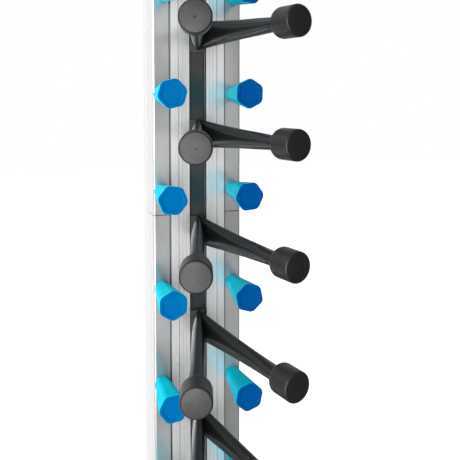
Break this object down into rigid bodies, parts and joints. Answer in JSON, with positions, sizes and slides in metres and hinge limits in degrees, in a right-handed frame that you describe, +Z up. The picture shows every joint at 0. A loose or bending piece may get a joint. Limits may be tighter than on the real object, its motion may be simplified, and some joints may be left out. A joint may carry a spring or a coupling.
{
  "type": "dumbbell rack",
  "caption": "Wall-mounted upright dumbbell rack: a slotted aluminium column with height-adjustable V-shaped forks, rubber end knobs and fluted bumpers.",
  "frame": {"origin": "centre of the rectangle of the four wall screws' holes, on the wall's plane", "axes": "+Z up along the column, +Y into the wall, so the rack faces -Y, and +X to the right of a person facing the rack"},
  "size_m": [0.226, 0.3341, 0.968],
  "materials": {
    "core_aluminium": "brushed along its length",
    "cover_aluminium": "satin anodised",
    "rear_aluminium": "satin anodised",
    "slider_aluminium": "as milled",
    "arm_paint": "gloss",
    "knob_rubber": "matte",
    "bumper_rubber": "satin",
    "cap_plastic": "matte",
    "plate_steel": "zinc plated",
    "fastener_steel": "zinc plated"
  },
  "bodies": {
    "column": {"column_core": "core_aluminium", "left_cover_upper": "cover_aluminium", "left_cover_lower": "cover_aluminium", "right_cover_upper": "cover_aluminium", "right_cover_lower": "cover_aluminium", "rear_channel": "rear_aluminium", "top_cap": "cap_plastic", "bottom_cap": "cap_plastic", "upper_wall_plate": "plate_steel", "lower_wall_plate": "plate_steel", "rear_screws": "fastener_steel", "bumper_studs": "fastener_steel", "left_bumper_1": "bumper_rubber", "left_bumper_2": "bumper_rubber", "left_bumper_3": "bumper_rubber", "left_bumper_4": "bumper_rubber", "left_bumper_5": "bumper_rubber", "left_bumper_6": "bumper_rubber", "right_bumper_1": "bumper_rubber", "right_bumper_2": "bumper_rubber", "right_bumper_3": "bumper_rubber", "right_bumper_4": "bumper_rubber", "right_bumper_5": "bumper_rubber", "right_bumper_6": "bumper_rubber"},
    "fork_1": {"fork_1_left_arm": "arm_paint", "fork_1_right_arm": "arm_paint", "fork_1_left_knob": "knob_rubber", "fork_1_right_knob": "knob_rubber", "fork_1_slider": "slider_aluminium", "fork_1_set_screws": "fastener_steel"},
    "fork_2": {"fork_2_left_arm": "arm_paint", "fork_2_right_arm": "arm_paint", "fork_2_left_knob": "knob_rubber", "fork_2_right_knob": "knob_rubber", "fork_2_slider": "slider_aluminium", "fork_2_set_screws": "fastener_steel"},
    "fork_3": {"fork_3_left_arm": "arm_paint", "fork_3_right_arm": "arm_paint", "fork_3_left_knob": "knob_rubber", "fork_3_right_knob": "knob_rubber", "fork_3_slider": "slider_aluminium", "fork_3_set_screws": "fastener_steel"},
    "fork_4": {"fork_4_left_arm": "arm_paint", "fork_4_right_arm": "arm_paint", "fork_4_left_knob": "knob_rubber", "fork_4_right_knob": "knob_rubber", "fork_4_slider": "slider_aluminium", "fork_4_set_screws": "fastener_steel"},
    "fork_5": {"fork_5_left_arm": "arm_paint", "fork_5_right_arm": "arm_paint", "fork_5_left_knob": "knob_rubber", "fork_5_right_knob": "knob_rubber", "fork_5_slider": "slider_aluminium", "fork_5_set_screws": "fastener_steel"},
    "fork_6": {"fork_6_left_arm": "arm_paint", "fork_6_right_arm": "arm_paint", "fork_6_left_knob": "knob_rubber", "fork_6_right_knob": "knob_rubber", "fork_6_slider": "slider_aluminium", "fork_6_set_screws": "fastener_steel"}
  },
  "joints": [
    {"name": "fork_1_height", "type": "slide", "parent": "column", "child": "fork_1", "axis": [0, 0, 1], "range_m": [-0.045, 0.045]},
    {"name": "fork_2_height", "type": "slide", "parent": "column", "child": "fork_2", "axis": [0, 0, 1], "range_m": [-0.045, 0.045]},
    {"name": "fork_3_height", "type": "slide", "parent": "column", "child": "fork_3", "axis": [0, 0, 1], "range_m": [-0.045, 0.045]},
    {"name": "fork_4_height", "type": "slide", "parent": "column", "child": "fork_4", "axis": [0, 0, 1], "range_m": [-0.045, 0.045]},
    {"name": "fork_5_height", "type": "slide", "parent": "column", "child": "fork_5", "axis": [0, 0, 1], "range_m": [-0.045, 0.045]},
    {"name": "fork_6_height", "type": "slide", "parent": "column", "child": "fork_6", "axis": [0, 0, 1], "range_m": [-0.045, 0.045]}
  ]
}
